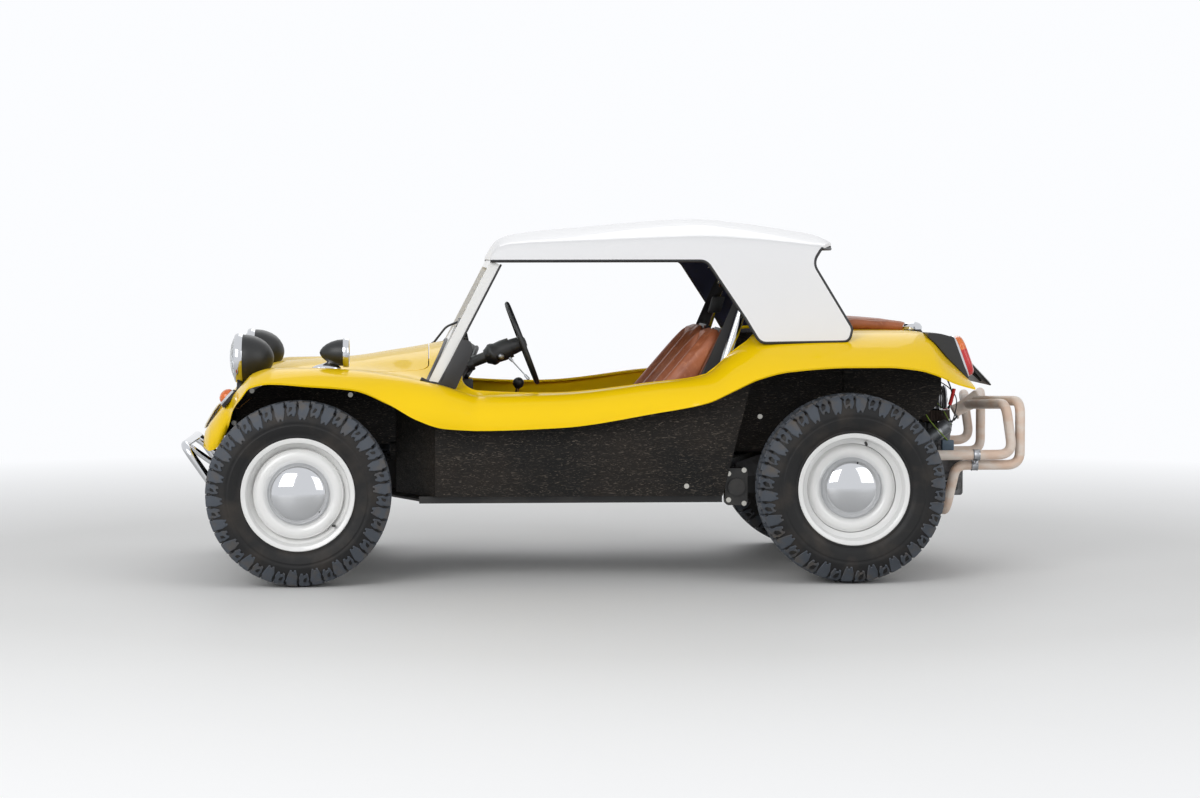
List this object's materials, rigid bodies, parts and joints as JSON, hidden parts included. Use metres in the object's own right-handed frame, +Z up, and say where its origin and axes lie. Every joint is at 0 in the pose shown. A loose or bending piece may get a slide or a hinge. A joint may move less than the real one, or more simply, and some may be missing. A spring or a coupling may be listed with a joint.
{
  "type": "dune buggy",
  "caption": "Open two-plus-two dune buggy with a hard roof, a rear air-cooled engine and steered front wheels.",
  "frame": {"origin": "on the ground under the middle of the whole vehicle", "axes": "+X to the rear, +Y to the vehicle's right, +Z up"},
  "size_m": [3.2199, 1.599, 1.354],
  "materials": {
    "yellow_gelcoat": "high gloss",
    "white_gelcoat": "satin gloss",
    "black_undercoat": "textured satin",
    "black_chassis": "satin",
    "black_tin": "matt",
    "cast_alloy": "as cast",
    "satin_metal": "satin",
    "ceramic_coat": "matt ceramic",
    "cream_paint": "gloss",
    "clear_glass": "clear",
    "black_plastic": "satin",
    "cognac_leather": "satin",
    "chrome_plate": "polished",
    "amber_lens": "moulded lens",
    "white_wheel_paint": "gloss",
    "tyre_rubber": "matt"
  },
  "bodies": {
    "chassis": {"body_shell": "yellow_gelcoat", "hood": "yellow_gelcoat", "cockpit_sides": "yellow_gelcoat", "side_panels": "black_undercoat", "front_bulkhead": "black_undercoat", "rear_bulkhead": "black_undercoat", "floor_pan": "black_chassis", "front_beam": "black_chassis", "front_suspension": "black_chassis", "torsion_housing": "black_chassis", "rear_suspension": "black_chassis", "transaxle": "cast_alloy", "engine": "cast_alloy", "fan_shroud": "black_tin", "engine_fittings": "satin_metal", "exhaust": "ceramic_coat", "windscreen_frame": "cream_paint", "window_glass": "clear_glass", "hardtop": "white_gelcoat", "dashboard": "black_plastic", "steering_column": "black_chassis", "seat_left": "cognac_leather", "seat_right": "cognac_leather", "rear_seat": "cognac_leather", "roll_hoop": "chrome_plate", "gear_lever": "chrome_plate", "pedals": "black_chassis", "headlights": "black_tin", "front_indicators": "amber_lens", "tail_lamps": "black_plastic", "mirror_left": "black_tin", "front_bumper": "chrome_plate", "filler_cap": "chrome_plate"},
    "left_knuckle": {"knuckle_left": "black_chassis"},
    "right_knuckle": {"knuckle_right": "black_chassis"},
    "pitman": {"pitman_arm": "black_chassis"},
    "left_tie_rod": {"tie_rod_left": "black_chassis"},
    "right_tie_rod": {"tie_rod_right": "black_chassis"},
    "steering_wheel": {"steering_wheel": "black_plastic"},
    "front_left_wheel": {"wheel_front_left": "white_wheel_paint", "tyre_front_left": "tyre_rubber"},
    "front_right_wheel": {"wheel_front_right": "white_wheel_paint", "tyre_front_right": "tyre_rubber"},
    "rear_left_wheel": {"wheel_rear_left": "white_wheel_paint", "tyre_rear_left": "tyre_rubber"},
    "rear_right_wheel": {"wheel_rear_right": "white_wheel_paint", "tyre_rear_right": "tyre_rubber"}
  },
  "joints": [
    {"name": "steer_left", "type": "hinge", "parent": "chassis", "child": "left_knuckle", "pos_m": [-1.145, -0.575, 0.34], "axis": [0, 0, 1], "range_deg": [-28, 28]},
    {"name": "steer_right", "type": "hinge", "parent": "chassis", "child": "right_knuckle", "pos_m": [-1.145, 0.575, 0.34], "axis": [0, 0, 1], "range_deg": [-28, 28]},
    {"name": "pitman_turn", "type": "hinge", "parent": "chassis", "child": "pitman", "pos_m": [-1.145, -0.29, 0.453], "axis": [0, 0, 1], "range_deg": [-28, 28]},
    {"name": "tie_rod_left_end", "type": "hinge", "parent": "left_knuckle", "child": "left_tie_rod", "pos_m": [-1.025, -0.555, 0.432], "axis": [0, 0, 1], "range_deg": [-28, 28]},
    {"name": "tie_rod_right_end", "type": "hinge", "parent": "right_knuckle", "child": "right_tie_rod", "pos_m": [-1.025, 0.555, 0.474], "axis": [0, 0, 1], "range_deg": [-28, 28]},
    {"name": "steering_wheel_turn", "type": "hinge", "parent": "chassis", "child": "steering_wheel", "pos_m": [-0.314, -0.33, 0.878], "axis": [0.9336, 0, 0.3584], "range_deg": [-401, 401]},
    {"name": "spin_front_left", "type": "hinge", "parent": "left_knuckle", "child": "front_left_wheel", "pos_m": [-1.145, -0.692, 0.34], "axis": [0, 1, 0], "continuous": true},
    {"name": "spin_front_right", "type": "hinge", "parent": "right_knuckle", "child": "front_right_wheel", "pos_m": [-1.145, 0.692, 0.34], "axis": [0, 1, 0], "continuous": true},
    {"name": "spin_rear_left", "type": "hinge", "parent": "chassis", "child": "rear_left_wheel", "pos_m": [0.895, -0.672, 0.35], "axis": [0, 1, 0], "continuous": true},
    {"name": "spin_rear_right", "type": "hinge", "parent": "chassis", "child": "rear_right_wheel", "pos_m": [0.895, 0.672, 0.35], "axis": [0, 1, 0], "continuous": true}
  ],
  "couplings": [
    {"joint": "steer_right", "follows": "steer_left", "ratio": 1},
    {"joint": "pitman_turn", "follows": "steer_left", "ratio": 1},
    {"joint": "tie_rod_left_end", "follows": "steer_left", "ratio": -1},
    {"joint": "tie_rod_right_end", "follows": "steer_left", "ratio": -1},
    {"joint": "steering_wheel_turn", "follows": "steer_left", "ratio": 14.3}
  ]
}
